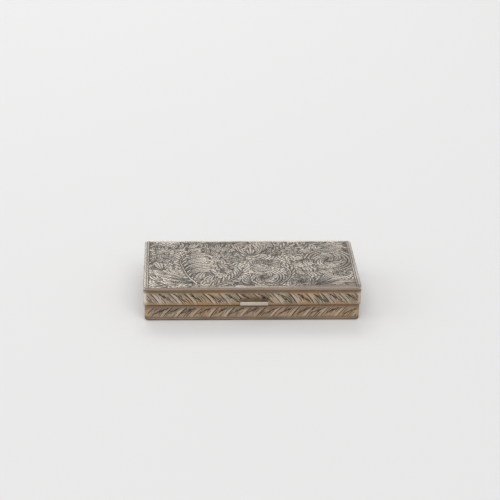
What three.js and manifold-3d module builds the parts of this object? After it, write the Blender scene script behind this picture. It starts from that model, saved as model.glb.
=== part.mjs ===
// Engraved silver cigarette case: a hinged lid that closes over a shallow base.
// Millimetres, +Z up, +X along the long side, the thumbpiece at -Y and the hinge at +Y.
// The origin is the centre of the underside.
import * as THREE from "three";
import { mergeVertices } from "three/addons/utils/BufferGeometryUtils.js";
import Module from "manifold-3d";

const wasm = await Module();
wasm.setup();

// Shell: two trays of sheet silver, each a wall band with a plate soldered on.
const BASE_LENGTH = 83.2;
const BASE_DEPTH = 41.6;
const CASE_HEIGHT = 14.6;
const SEAM_HEIGHT = 6.75;
const SEAM_GAP = 0.1;
const LID_OVERHANG = 0.4; // how far the lid stands past the base at the front and both ends
const CORNER_RADIUS = 1.5;
const WALL = 0.9;
const LID_PLATE = 1.4;
const BASE_PLATE = 1.2;
const LID_ROUND = 0.35; // rounding of the lid plate's outer edge
const BASE_ROUND = 0.9; // rounding of the base plate's outer edge
const SOLDER_GROOVE = 0.2; // V-groove along the line where a plate meets its wall
const SEAM_CHAMFER = 0.15; // broken edge of each wall at the seam

// Hinge: interleaved tubes on one pin, seated in a half-round gutter along the back.
const HINGE_INSET = 0.6; // pin axis, in from the back face
const HINGE_END_INSET = 0.4; // end knuckles, in from the ends of the base
const KNUCKLE_COUNT = 9;
const KNUCKLE_RADIUS = 1.2;
const KNUCKLE_CHAMFER = 0.12;
const KNUCKLE_GAP = 0.15;
const GUTTER_CLEARANCE = 0.1;
const PIN_RADIUS = 0.5;
const PIN_CLEARANCE = 0.05;
const PLUG_LENGTH = 1.6;
const PLUG_DOME = 0.25; // how far a plug's rounded head stands out of the end knuckle
const BEARER_THICKNESS = 1.9;
const BEARER_HEIGHT = 3.4; // reach of each bearer from the seam

// Liner: a strip inside the base that guides the lid, with the bead that the lid snaps over.
const LINER = 0.6;
const LINER_RISE = 2;
const LINER_CHAMFER = 0.15;
const LINER_END_GAP = 0.3;
const BEAD_RADIUS = 0.2;
const BEAD_LENGTH = 14;
const BEAD_HEIGHT = 1; // bead's centre above the seam

// Thumbpiece: a lip on the lid's front wall. Heights are above the seam.
const THUMB_WIDTH = 10.8;
const THUMB_OFFSET = 0.5; // how far the lip's middle is to the right of the case's
const THUMB_REACH = 2.3;
const THUMB_TOP = 3.1;
const THUMB_ROOT = 0.6;
const THUMB_LIP_TOP = 2.7;
const THUMB_LIP_BOTTOM = 1.15;
const THUMB_SCOOP = 0.3; // dip of the top face, where the thumb nail goes
const THUMB_ROUND = 0.35; // rounding of the lip's upper and lower edges
const THUMB_CORNER = 0.6; // rounding of the lip's front corners, seen from above

// Fineness of the round forms.
const CORNER_STEPS = 6;
const SMALL_CORNER_STEPS = 3;
const CURVE_STEPS = 6;
const TUBE_SIDES = 24;
const PIN_SIDES = 16;
const DOME_STEPS = 4;
const LEAST_RADIUS = 0.05;

// Values that follow from the sizes above.
const axisY = BASE_DEPTH / 2 - HINGE_INSET;
const gutterRadius = KNUCKLE_RADIUS + GUTTER_CLEARANCE;
const hingeLength = BASE_LENGTH - 2 * HINGE_END_INSET;
const bearerLength = BASE_LENGTH - 2 * Math.max(CORNER_RADIUS, WALL);
const baseTop = SEAM_HEIGHT - SEAM_GAP / 2;
const lidBottom = SEAM_HEIGHT + SEAM_GAP / 2;
const backInnerY = BASE_DEPTH / 2 - WALL;
const bearerInnerY = backInnerY - BEARER_THICKNESS;
const linerFrontY = WALL - BASE_DEPTH / 2;
const lidFrontY = -BASE_DEPTH / 2 - LID_OVERHANG;

// Plan outlines of the two halves: half length, half depth and the middle along Y.
const basePlan = { halfX: BASE_LENGTH / 2, halfY: BASE_DEPTH / 2, midY: 0 };
const lidPlan = {
  halfX: BASE_LENGTH / 2 + LID_OVERHANG,
  halfY: (BASE_DEPTH + LID_OVERHANG) / 2,
  midY: -LID_OVERHANG / 2,
};

const finishes = {
  engravedSilver: new THREE.MeshStandardMaterial({ color: 0xa39d95, metalness: 1, roughness: 0.42 }),
  wornGilt: new THREE.MeshStandardMaterial({ color: 0x8f7a64, metalness: 1, roughness: 0.45 }),
  insideGilt: new THREE.MeshStandardMaterial({ color: 0xc8a86a, metalness: 1, roughness: 0.35 }),
  polishedSilver: new THREE.MeshStandardMaterial({ color: 0xd9d5cc, metalness: 1, roughness: 0.25 }),
  pinSteel: new THREE.MeshStandardMaterial({ color: 0x8d8d8c, metalness: 1, roughness: 0.4 }),
};

// Axis swap that lays a shape drawn in Y and Z, extruded along its own third axis, out along X.
const drawnYZ = new THREE.Matrix4().set(0, 0, 1, 0, 1, 0, 0, 0, 0, 1, 0, 0, 0, 0, 0, 1);
// Axis swap that turns a body of revolution from the Y axis to the X axis.
const turnedX = new THREE.Matrix4().set(0, 1, 0, 0, 0, 0, 1, 0, 1, 0, 0, 0, 0, 0, 0, 1);

// The rounded rectangle of a plan, drawn in by an inset, counter-clockwise.
function planRing({ halfX, halfY, midY }, inset) {
  const radius = Math.max(CORNER_RADIUS - inset, LEAST_RADIUS);
  const centreX = halfX - inset - radius;
  const centreY = halfY - inset - radius;
  const ring = [];
  for (let corner = 0; corner < 4; corner++) {
    const signX = corner === 0 || corner === 3 ? 1 : -1;
    const signY = corner < 2 ? 1 : -1;
    for (let step = 0; step <= CORNER_STEPS; step++) {
      const angle = ((corner + step / CORNER_STEPS) * Math.PI) / 2;
      const x = signX * centreX + radius * Math.cos(angle);
      const y = midY + signY * centreY + radius * Math.sin(angle);
      ring.push([x, y]);
    }
  }
  return ring;
}

// A profile of [inset, z] points carried round a plan. A closed profile makes a band, and an
// open one, listed from the bottom up, makes a plate with flat faces below and above.
function sweepRoundPlan(plan, profile, closed) {
  const positions = [];
  const index = [];
  const count = 4 * (CORNER_STEPS + 1);
  for (const [inset, z] of profile) {
    for (const [x, y] of planRing(plan, inset)) positions.push(x, y, z);
  }
  const spans = closed ? profile.length : profile.length - 1;
  for (let row = 0; row < spans; row++) {
    const here = row * count;
    const next = ((row + 1) % profile.length) * count;
    for (let i = 0; i < count; i++) {
      const j = (i + 1) % count;
      index.push(here + i, here + j, next + j, here + i, next + j, next + i);
    }
  }
  if (!closed) {
    const top = (profile.length - 1) * count;
    for (let i = 1; i < count - 1; i++) {
      index.push(0, i + 1, i, top, top + i, top + i + 1);
    }
  }
  const geometry = new THREE.BufferGeometry();
  geometry.setAttribute("position", new THREE.Float32BufferAttribute(positions, 3));
  geometry.setIndex(index);
  return geometry;
}

// A quarter round as [inset, z] points, from the plate's side to its flat face.
function quarterRound(sideZ, faceZ, radius) {
  const points = [];
  for (let step = 0; step <= DOME_STEPS; step++) {
    const angle = ((step / DOME_STEPS) * Math.PI) / 2;
    const z = sideZ + (faceZ - sideZ) * Math.sin(angle);
    points.push([radius * (1 - Math.cos(angle)), z]);
  }
  return points;
}

// A shape drawn in Y and Z, extruded along X and centred.
function extrudeAlongX(shape, length) {
  const geometry = new THREE.ExtrudeGeometry(shape, {
    depth: length,
    curveSegments: CURVE_STEPS,
    bevelEnabled: false,
  });
  geometry.translate(0, 0, -length / 2);
  return geometry.applyMatrix4(drawnYZ);
}

// A closed profile of [radius, along] points turned about the hinge axis.
function turnOnHinge(profile, sides) {
  const points = profile.map(([radius, along]) => new THREE.Vector2(radius, along));
  return new THREE.LatheGeometry(points, sides).applyMatrix4(turnedX);
}

function toSolid(geometry) {
  const bare = geometry.clone();
  bare.deleteAttribute("normal");
  bare.deleteAttribute("uv");
  const merged = mergeVertices(bare);
  return new wasm.Manifold(
    new wasm.Mesh({
      numProp: 3,
      vertProperties: merged.attributes.position.array,
      triVerts: new Uint32Array(merged.index.array),
    }),
  );
}

function toGeometry(solid) {
  const { vertProperties, triVerts } = solid.getMesh();
  const geometry = new THREE.BufferGeometry();
  geometry.setAttribute("position", new THREE.BufferAttribute(vertProperties, 3));
  geometry.setIndex(new THREE.BufferAttribute(triVerts, 1));
  return geometry;
}

function addPiece(group, name, geometry, material) {
  const piece = new THREE.Mesh(geometry, material);
  piece.name = name;
  group.add(piece);
  return piece;
}

// The round channel along the whole back, centred on the pin, that both halves share.
function gutterCutter() {
  const length = 2 * lidPlan.halfX + gutterRadius;
  const rod = new THREE.CylinderGeometry(gutterRadius, gutterRadius, length, TUBE_SIDES);
  rod.applyMatrix4(turnedX).translate(0, axisY, SEAM_HEIGHT);
  return toSolid(rod);
}

// A wall band between its plate and the seam, with the gutter cut from its back edge.
function wallBand(plan, plateZ, seamZ) {
  const up = Math.sign(seamZ - plateZ);
  const outline = [
    [SOLDER_GROOVE, plateZ],
    [0, plateZ + up * SOLDER_GROOVE],
    [0, seamZ - up * SEAM_CHAMFER],
    [SEAM_CHAMFER, seamZ],
    [WALL, seamZ],
    [WALL, plateZ],
  ];
  const profile = up > 0 ? outline : outline.reverse();
  return toGeometry(toSolid(sweepRoundPlan(plan, profile, true)).subtract(gutterCutter()));
}

// A plate whose outer edge is rounded on its show face and grooved where it meets its wall.
function plate(plan, wallZ, faceZ, radius) {
  const up = Math.sign(faceZ - wallZ);
  const profile = [
    [SOLDER_GROOVE, wallZ],
    [0, wallZ + up * SOLDER_GROOVE],
    ...quarterRound(faceZ - up * radius, faceZ, radius),
  ];
  return sweepRoundPlan(plan, up > 0 ? profile : profile.reverse(), false);
}

// The strip soldered inside a back wall that carries one half's knuckles in its gutter.
// side is 1 for the lid, above the seam, and -1 for the base, below it.
function hingeBearer(side) {
  const seamZ = (side * SEAM_GAP) / 2;
  const wallY = backInnerY - axisY;
  const innerY = bearerInnerY - axisY;
  const seamAngle = Math.PI - Math.asin(SEAM_GAP / 2 / gutterRadius);
  const wallAngle = Math.acos(wallY / gutterRadius);
  const shape = new THREE.Shape();
  shape.moveTo(innerY, seamZ);
  shape.absarc(0, 0, gutterRadius, side * seamAngle, side * wallAngle, side > 0);
  shape.lineTo(wallY, side * BEARER_HEIGHT);
  shape.lineTo(innerY, side * BEARER_HEIGHT);
  shape.closePath();
  return extrudeAlongX(shape, bearerLength).translate(0, axisY, SEAM_HEIGHT);
}

function knuckle(length) {
  const bore = PIN_RADIUS + PIN_CLEARANCE;
  const half = length / 2;
  return turnOnHinge(
    [
      [bore, -half],
      [KNUCKLE_RADIUS - KNUCKLE_CHAMFER, -half],
      [KNUCKLE_RADIUS, KNUCKLE_CHAMFER - half],
      [KNUCKLE_RADIUS, half - KNUCKLE_CHAMFER],
      [KNUCKLE_RADIUS - KNUCKLE_CHAMFER, half],
      [bore, half],
      [bore, -half],
    ],
    TUBE_SIDES,
  );
}

// A plug that closes an end knuckle over the pin, with a low rounded head.
function pinPlug() {
  const profile = [
    [0, -PLUG_LENGTH],
    [PIN_RADIUS, -PLUG_LENGTH],
  ];
  for (let step = 0; step <= DOME_STEPS; step++) {
    const angle = ((step / DOME_STEPS) * Math.PI) / 2;
    profile.push([PIN_RADIUS * Math.cos(angle), PLUG_DOME * Math.sin(angle)]);
  }
  return turnOnHinge(profile, PIN_SIDES);
}

// The liner's plan: along the front and both ends, open where the hinge bearers are.
function liner() {
  const outerX = BASE_LENGTH / 2 - WALL;
  const innerX = outerX - LINER;
  const innerY = linerFrontY + LINER;
  const endY = bearerInnerY - LINER_END_GAP;
  const radius = Math.max(CORNER_RADIUS - WALL, LEAST_RADIUS);
  const shape = new THREE.Shape();
  shape.moveTo(-outerX, endY);
  shape.lineTo(-outerX, linerFrontY + radius);
  shape.absarc(radius - outerX, linerFrontY + radius, radius, Math.PI, 1.5 * Math.PI);
  shape.absarc(outerX - radius, linerFrontY + radius, radius, 1.5 * Math.PI, 2 * Math.PI);
  shape.lineTo(outerX, endY);
  shape.lineTo(innerX, endY);
  shape.lineTo(innerX, innerY);
  shape.lineTo(-innerX, innerY);
  shape.lineTo(-innerX, endY);
  shape.closePath();
  const height = SEAM_HEIGHT + LINER_RISE - BASE_PLATE;
  const geometry = new THREE.ExtrudeGeometry(shape, {
    depth: height - 2 * LINER_CHAMFER,
    curveSegments: SMALL_CORNER_STEPS,
    bevelThickness: LINER_CHAMFER,
    bevelSize: LINER_CHAMFER,
    bevelOffset: -LINER_CHAMFER,
    bevelSegments: 1,
  });
  return geometry.translate(0, 0, BASE_PLATE + LINER_CHAMFER);
}

// A half-round wire along the front of the liner.
function snapBead() {
  const shape = new THREE.Shape();
  shape.absarc(0, 0, BEAD_RADIUS, Math.PI / 2, 1.5 * Math.PI);
  shape.closePath();
  return extrudeAlongX(shape, BEAD_LENGTH).translate(0, linerFrontY, SEAM_HEIGHT + BEAD_HEIGHT);
}

// A lip with a scooped top, a square front and a root that sweeps back under to the wall,
// cut to a plan with rounded front corners.
function thumbpiece() {
  const front = -THUMB_REACH;
  const side = new THREE.Shape();
  side.moveTo(0, THUMB_TOP);
  const scoopZ = (THUMB_TOP + THUMB_LIP_TOP) / 2 - THUMB_SCOOP;
  side.quadraticCurveTo(front / 2, scoopZ, front + THUMB_ROUND, THUMB_LIP_TOP);
  side.quadraticCurveTo(front, THUMB_LIP_TOP, front, THUMB_LIP_TOP - THUMB_ROUND);
  side.lineTo(front, THUMB_LIP_BOTTOM + THUMB_ROUND);
  side.quadraticCurveTo(front, THUMB_LIP_BOTTOM, front + THUMB_ROUND, THUMB_LIP_BOTTOM);
  side.quadraticCurveTo(front / 2, THUMB_LIP_BOTTOM, 0, THUMB_ROOT);
  side.closePath();
  const half = THUMB_WIDTH / 2;
  const plan = new THREE.Shape();
  plan.moveTo(half, 0);
  plan.lineTo(-half, 0);
  plan.lineTo(-half, front + THUMB_CORNER);
  plan.absarc(THUMB_CORNER - half, front + THUMB_CORNER, THUMB_CORNER, Math.PI, 1.5 * Math.PI);
  plan.absarc(half - THUMB_CORNER, front + THUMB_CORNER, THUMB_CORNER, 1.5 * Math.PI, 2 * Math.PI);
  plan.closePath();
  const blank = new THREE.ExtrudeGeometry(plan, {
    depth: THUMB_TOP,
    curveSegments: SMALL_CORNER_STEPS,
    bevelEnabled: false,
  });
  const lip = toSolid(extrudeAlongX(side, THUMB_WIDTH)).intersect(toSolid(blank));
  return toGeometry(lip).translate(THUMB_OFFSET, lidFrontY, SEAM_HEIGHT);
}

const base = new THREE.Group();
base.name = "base";
const lid = new THREE.Group();
lid.name = "lid";

addPiece(base, "base_plate", plate(basePlan, BASE_PLATE, 0, BASE_ROUND), finishes.wornGilt);
addPiece(base, "base_wall", wallBand(basePlan, BASE_PLATE, baseTop), finishes.wornGilt);
addPiece(base, "base_liner", liner(), finishes.insideGilt);
addPiece(base, "snap_bead", snapBead(), finishes.insideGilt);
addPiece(base, "base_hinge_bearer", hingeBearer(-1), finishes.insideGilt);

const lidPlateZ = CASE_HEIGHT - LID_PLATE;
const lidPlate = plate(lidPlan, lidPlateZ, CASE_HEIGHT, LID_ROUND);
addPiece(lid, "lid_plate", lidPlate, finishes.engravedSilver);
addPiece(lid, "lid_wall", wallBand(lidPlan, lidPlateZ, lidBottom), finishes.wornGilt);
addPiece(lid, "lid_hinge_bearer", hingeBearer(1), finishes.insideGilt);
addPiece(lid, "thumbpiece", thumbpiece(), finishes.polishedSilver);

// Knuckles take turns along the pin, and the base has the first and the last.
const pitch = (hingeLength + KNUCKLE_GAP) / KNUCKLE_COUNT;
for (let i = 0; i < KNUCKLE_COUNT; i++) {
  const onBase = i % 2 === 0;
  const name = `${onBase ? "base" : "lid"}_knuckle_${Math.floor(i / 2) + 1}`;
  const tube = addPiece(onBase ? base : lid, name, knuckle(pitch - KNUCKLE_GAP), finishes.wornGilt);
  tube.position.set((i - (KNUCKLE_COUNT - 1) / 2) * pitch, axisY, SEAM_HEIGHT);
}

const pinLength = hingeLength - 2 * PLUG_LENGTH;
const rod = new THREE.CylinderGeometry(PIN_RADIUS, PIN_RADIUS, pinLength, PIN_SIDES).applyMatrix4(turnedX);
addPiece(base, "hinge_pin", rod, finishes.pinSteel).position.set(0, axisY, SEAM_HEIGHT);
for (const [name, side] of [["pin_plug_left", -1], ["pin_plug_right", 1]]) {
  const plug = addPiece(base, name, pinPlug(), finishes.wornGilt);
  plug.position.set((side * hingeLength) / 2, axisY, SEAM_HEIGHT);
  plug.rotation.z = side > 0 ? 0 : Math.PI;
}

const cigaretteCase = new THREE.Group();
cigaretteCase.name = "cigarette_case";
cigaretteCase.add(base, lid);

export default cigaretteCase;
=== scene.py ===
"""Looks of the engraved silver cigarette case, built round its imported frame."""

import logging
import math
from collections.abc import Callable, Sequence
from dataclasses import dataclass, field
from enum import Enum

import bpy
import numpy as np
from mathutils import Matrix, Vector


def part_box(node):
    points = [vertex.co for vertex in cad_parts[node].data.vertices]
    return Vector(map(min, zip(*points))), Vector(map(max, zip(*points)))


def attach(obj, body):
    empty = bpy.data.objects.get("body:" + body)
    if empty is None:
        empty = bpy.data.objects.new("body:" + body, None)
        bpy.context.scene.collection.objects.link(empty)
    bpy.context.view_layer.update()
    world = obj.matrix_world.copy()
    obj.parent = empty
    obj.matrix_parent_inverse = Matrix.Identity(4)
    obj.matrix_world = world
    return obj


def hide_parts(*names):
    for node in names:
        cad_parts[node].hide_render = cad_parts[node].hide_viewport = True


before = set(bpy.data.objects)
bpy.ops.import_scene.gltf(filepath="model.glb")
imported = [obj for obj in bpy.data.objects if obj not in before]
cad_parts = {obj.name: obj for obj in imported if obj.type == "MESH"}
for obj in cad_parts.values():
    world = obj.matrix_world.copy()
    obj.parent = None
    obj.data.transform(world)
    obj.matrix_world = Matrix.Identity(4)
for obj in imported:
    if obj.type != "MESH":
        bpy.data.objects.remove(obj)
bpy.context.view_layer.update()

MM = 0.001
log = logging.getLogger("cigarette_case")

Array = np.ndarray
Colour = tuple[float, float, float]
Point = tuple[float, float]
Window = tuple[slice, slice]
Material = bpy.types.Material
Piece = bpy.types.Object
Socket = bpy.types.NodeSocket


class Facing(Enum):
    """The way that a plate's show face looks."""

    UP = 1
    DOWN = -1


def fade(distance: Array, width: float, hold: float) -> Array:
    """Falls from 1 to 0 over a width, and is 0 from hold times the width on."""
    return np.clip(hold - distance / width, 0, 1)


def around(turns: Array) -> Array:
    """Finds the points at some angles on a circle of radius 1."""
    return np.stack([np.cos(turns), np.sin(turns)], -1)


def hatched(place: Array, pitch: float) -> Array:
    """Says which places lie on evenly spaced lines."""
    return np.abs(place / pitch - np.round(place / pitch)) < 0.25


def smooth_line(through: Sequence[Point], steps: int = 12) -> Array:
    """Draws a smooth line through points.

    Args:
        through: The points.
        steps: Number of steps between each two.

    Returns:
        The line's points.
    """
    given = np.asarray(through, float)
    held = np.vstack([2 * given[0] - given[1], given, 2 * given[-1] - given[-2]])
    t = np.linspace(0, 1, steps, endpoint=False)[:, None]
    line = []
    for a, b, c, d in zip(held, held[1:], held[2:], held[3:]):
        square = a - 2.5 * b + 2 * c - 0.5 * d
        cube = 1.5 * (b - c) + 0.5 * (d - a)
        line.append(b + 0.5 * t * (c - a) + t**2 * square + t**3 * cube)
    return np.vstack([*line, given[-1:]])


class Bench:
    """Operator steps that all the pieces share."""

    @staticmethod
    def clear() -> None:
        """Leaves edit mode and deselects everything."""
        if bpy.context.object is not None and bpy.context.object.mode != "OBJECT":
            bpy.ops.object.mode_set(mode="OBJECT")
        bpy.ops.object.select_all(action="DESELECT")

    @staticmethod
    def take(piece: Piece) -> None:
        """Selects one piece alone.

        Args:
            piece: The object, which becomes the active one.
        """
        Bench.clear()
        piece.select_set(True)
        bpy.context.view_layer.objects.active = piece

    @staticmethod
    def adopt(name: str) -> Piece:
        """Names the piece that was just added, and its mesh."""
        bpy.context.object.name = bpy.context.object.data.name = name
        return bpy.context.object

    @staticmethod
    def edit(
        piece: Piece, kind: str, test: Callable[[bpy.types.MeshPolygon], bool] | None = None
    ) -> None:
        """Opens the piece in edit mode.

        Args:
            piece: The object to edit.
            kind: What is selected, VERT, EDGE or FACE.
            test: Says of a face whether it is selected. Without it, nothing is.
        """
        Bench.take(piece)
        bpy.ops.object.mode_set(mode="EDIT")
        bpy.ops.mesh.select_mode(type=kind)
        bpy.ops.mesh.select_all(action="DESELECT")
        if test is not None:
            bpy.ops.object.mode_set(mode="OBJECT")
            for face in piece.data.polygons:
                face.select = test(face)
            bpy.ops.object.mode_set(mode="EDIT")

    @staticmethod
    def face_out() -> None:
        """Turns every face outward, and goes back to object mode."""
        bpy.ops.mesh.select_all(action="SELECT")
        bpy.ops.mesh.normals_make_consistent(inside=False)
        bpy.ops.object.mode_set(mode="OBJECT")

    @staticmethod
    def bevel(piece: Piece, width: float, segments: int, angle: float) -> None:
        """Rounds the piece's sharp edges.

        Args:
            piece: The object to round.
            width: Width of the bevel, in millimetres.
            segments: How many faces make the round.
            angle: The least angle of an edge that is rounded, in degrees.
        """
        Bench.take(piece)
        modifier = piece.modifiers.new("round", "BEVEL")
        modifier.width = width * MM
        modifier.segments = segments
        modifier.limit_method = "ANGLE"
        modifier.angle_limit = math.radians(angle)
        bpy.ops.object.modifier_apply(modifier=modifier.name)

    @staticmethod
    def smooth(piece: Piece, angle: float) -> None:
        """Shades the piece smooth across edges flatter than an angle in degrees."""
        Bench.take(piece)
        bpy.ops.object.shade_smooth_by_angle(angle=math.radians(angle))

    @staticmethod
    def dress(piece: Piece, *finishes: Material) -> None:
        """Gives the piece its finishes, in the order of its faces' numbers."""
        for finish in finishes:
            piece.data.materials.append(finish)

    @staticmethod
    def sheet(name: str, points: Array, layers: dict[str, Array]) -> tuple[Piece, Array]:
        """Adds a sheet of four-sided faces.

        Args:
            name: The piece's name.
            points: Rows of points, in millimetres.
            layers: Values at the points for the sheet's finish to read, by attribute.

        Returns:
            The object, and the row of each of its vertices.
        """
        rows, columns = points.shape[0] - 1, points.shape[1] - 1
        Bench.clear()
        bpy.ops.mesh.primitive_grid_add(x_subdivisions=columns, y_subdivisions=rows, size=2)
        piece = Bench.adopt(name)
        mesh = piece.data
        places = np.empty(len(mesh.vertices) * 3, np.float32)
        mesh.vertices.foreach_get("co", places)
        places = places.reshape(-1, 3).round(5)
        rank = np.argsort(np.lexsort((places[:, 0], places[:, 1])))
        placed = points.reshape(-1, 3)[rank] * MM
        mesh.vertices.foreach_set("co", placed.astype(np.float32).ravel())
        mesh.update()
        for layer, values in layers.items():
            attribute = mesh.attributes.new(layer, "FLOAT", "POINT")
            attribute.data.foreach_set("value", values.ravel()[rank].astype(np.float32))
        return piece, rank // (columns + 1)


class Nodes:
    """A material's node tree, with short calls to fill it."""

    def __init__(self, name: str) -> None:
        """Makes a material with a bare shader.

        Args:
            name: The material's name.
        """
        self.material = bpy.data.materials.new(name)
        self.material.use_nodes = True
        self.tree = self.material.node_tree
        self.tree.nodes.clear()
        self.shader = self.add("ShaderNodeBsdfPrincipled", {})
        self.add("ShaderNodeOutputMaterial", {"Surface": self.shader.outputs["BSDF"]})
        self.place = self.add("ShaderNodeTexCoord", {}).outputs["Object"]

    def add(self, kind: str, inputs: dict[str, Socket | float | Colour]) -> bpy.types.Node:
        """Adds a node and fills its inputs."""
        return self.fill(self.tree.nodes.new(kind), inputs)

    def fill(
        self, node: bpy.types.Node, inputs: dict[str | int, Socket | float | Colour]
    ) -> bpy.types.Node:
        """Fills a node's inputs.

        Args:
            node: The node.
            inputs: A value, or a socket to link, for each input by its name or number.

        Returns:
            The node.
        """
        for key, value in inputs.items():
            if isinstance(value, Socket):
                self.tree.links.new(value, node.inputs[key])
            else:
                node.inputs[key].default_value = value
        return node

    def attribute(self, name: str) -> Socket:
        """Reads a value that is stored on the piece.

        Args:
            name: The attribute's name.

        Returns:
            The value's socket.
        """
        node = self.add("ShaderNodeAttribute", {})
        node.attribute_name = name
        return node.outputs["Fac"]

    def noise(self, scale: float, detail: float, stretch: Colour = (1, 1, 1)) -> Socket:
        """Makes soft noise on the piece's own place.

        Args:
            scale: Grains in a metre.
            detail: How many finer layers are added.
            stretch: Scale of the noise along each axis.

        Returns:
            The noise's socket, from about 0.3 to 0.7.
        """
        mapping = self.add("ShaderNodeMapping", {"Scale": stretch, "Vector": self.place})
        inputs = {"Scale": scale, "Detail": detail, "Vector": mapping.outputs["Vector"]}
        return self.add("ShaderNodeTexNoise", inputs).outputs["Fac"]

    def spread(self, value: Socket, start: Point, end: Point) -> Socket:
        """Carries a value from one range to another, and stops at its ends.

        Args:
            value: The socket to read.
            start: The range that is read.
            end: The range that it becomes.

        Returns:
            The new value's socket.
        """
        limits = dict(zip(("From Min", "From Max", "To Min", "To Max"), (*start, *end)))
        return self.add("ShaderNodeMapRange", {"Value": value, **limits}).outputs["Result"]

    def mix(self, share: Socket, first: Socket | Colour, second: Colour) -> Socket:
        """Mixes two colours.

        Args:
            share: The socket that says how much of the second colour shows.
            first: A colour or a colour's socket.
            second: A colour.

        Returns:
            The mixed colour's socket.
        """
        node = self.add("ShaderNodeMix", {})
        node.data_type = "RGBA"
        under = (*first, 1) if isinstance(first, tuple) else first
        return self.fill(node, {"Factor": share, 6: under, 7: (*second, 1)}).outputs[2]

    def sum(self, first: Socket, second: Socket) -> Socket:
        """Adds two values, and stops at 1.

        Args:
            first: A value's socket.
            second: A value's socket.

        Returns:
            The sum's socket.
        """
        node = self.add("ShaderNodeMath", {})
        node.use_clamp = True
        return self.fill(node, {0: first, 1: second}).outputs[0]

    def bump(self, height: Socket, strength: float, depth: float) -> None:
        """Roughens the shader's surface by a height.

        Args:
            height: The height's socket.
            strength: How strongly it shows.
            depth: Its depth, in millimetres.
        """
        inputs = {"Strength": strength, "Distance": depth * MM, "Height": height}
        normal = self.add("ShaderNodeBump", inputs).outputs["Normal"]
        self.fill(self.shader, {"Normal": normal})

    def metal(self, colour: Socket, rough: Socket) -> Material:
        """Ends the tree as a metal of a colour and a roughness."""
        self.fill(self.shader, {"Base Color": colour, "Roughness": rough, "Metallic": 1})
        return self.material


@dataclass(frozen=True)
class CutMetal:
    """Old worked metal, bright where it stands up, dark in the cuts, stained and scratched."""

    name: str
    raised: Colour
    stained: Colour
    cut: Colour
    sheen: Colour
    bare: Colour
    patina: Colour
    rough: float = 0.36
    flush: float = 0.15
    bloom: float = 0.2
    streak: Colour = (1, 1, 1)
    stain_scale: float = 90
    scratch: float = 0.10
    scratch_scale: float = 900
    scratch_lines: Colour = (0.25, 3, 3)
    pit_scale: float = 4200
    tone_dull: float = 0.22
    warm_dull: float = 0.2

    def material(self) -> Material:
        """Builds the finish.

        Returns:
            The material, which reads the attributes tone, in the cuts and where shade is painted,
            warm, where its colour has turned, and bare, where it shows clean metal, worn and
            painted highlight alike.
        """
        nodes = Nodes(self.name)
        tone, warm, bare = (nodes.attribute(name) for name in ("tone", "warm", "bare"))
        stains = nodes.noise(self.stain_scale, 5, self.streak)
        blooms = nodes.noise(self.stain_scale * 0.8, 3)
        flushes = nodes.noise(self.stain_scale * 0.6, 4, self.streak)
        turned = nodes.sum(warm, nodes.spread(flushes, (0.48, 0.64), (0, self.flush)))
        colour = nodes.mix(nodes.spread(stains, (0.4, 0.62), (0, 1)), self.raised, self.stained)
        colour = nodes.mix(nodes.spread(blooms, (0.52, 0.66), (0, self.bloom)), colour, self.patina)
        colour = nodes.mix(turned, colour, self.sheen)
        colour = nodes.mix(bare, colour, self.bare)
        colour = nodes.mix(tone, colour, self.cut)
        scratches = nodes.noise(self.scratch_scale, 3, self.scratch_lines)
        ends = (self.rough - self.scratch, self.rough + self.scratch)
        dull = nodes.sum(
            nodes.spread(tone, (0, 1), (0, self.tone_dull)),
            nodes.spread(warm, (0, 1), (0, self.warm_dull)),
        )
        nodes.bump(nodes.noise(self.pit_scale, 4), 0.22, 0.02)
        return nodes.metal(colour, nodes.sum(nodes.spread(scratches, (0.35, 0.65), ends), dull))


@dataclass(frozen=True)
class PlainMetal:
    """Smooth metal with fine drawn lines, a little wear and a slow change of colour."""

    name: str
    clean: Colour
    worn: Colour
    rough: float
    drawn: Colour = (0.2, 4, 4)
    lines: float = 700
    patch_scale: float = 110

    def material(self) -> Material:
        """Builds the finish.

        Returns:
            The material.
        """
        nodes = Nodes(self.name)
        patches = nodes.spread(nodes.noise(self.patch_scale, 4), (0.4, 0.68), (0, 1))
        drawn = nodes.noise(self.lines, 3, self.drawn)
        nodes.bump(drawn, 0.12, 0.02)
        rough = nodes.spread(drawn, (0.3, 0.7), (self.rough * 0.7, self.rough * 1.35))
        return nodes.metal(nodes.mix(patches, self.clean, self.worn), rough)


@dataclass(frozen=True)
class Finishes:
    """The finishes of the case, each built once."""

    silver: Material
    gilt: Material
    inside: Material
    polished: Material
    steel: Material

    @classmethod
    def mixed(cls) -> "Finishes":
        """Builds every finish.

        Returns:
            The set of materials.
        """
        silver = CutMetal(
            name="engraved_silver",
            raised=(0.575, 0.521, 0.452),
            stained=(0.445, 0.395, 0.338),
            cut=(0.07, 0.065, 0.063),
            sheen=(0.43, 0.345, 0.285),
            bare=(0.72, 0.68, 0.62),
            patina=(0.40, 0.37, 0.30),
        )
        gilt = CutMetal(
            name="worn_gilt",
            raised=(0.545, 0.415, 0.312),
            stained=(0.37, 0.288, 0.22),
            cut=(0.06, 0.048, 0.04),
            sheen=(0.56, 0.365, 0.21),
            bare=(0.80, 0.74, 0.66),
            patina=(0.34, 0.29, 0.165),
            rough=0.4,
            flush=0.6,
            bloom=0.7,
            streak=(0.5, 0.5, 1.2),
            stain_scale=270,
        )
        inside = PlainMetal("inside_gilt", (0.72, 0.52, 0.24), (0.60, 0.43, 0.22), 0.3)
        polished = PlainMetal("polished_silver", (0.62, 0.56, 0.48), (0.52, 0.46, 0.39), 0.22)
        steel = PlainMetal("pin_steel", (0.36, 0.36, 0.36), (0.28, 0.27, 0.26), 0.35)
        return cls(*(finish.material() for finish in (silver, gilt, inside, polished, steel)))


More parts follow.
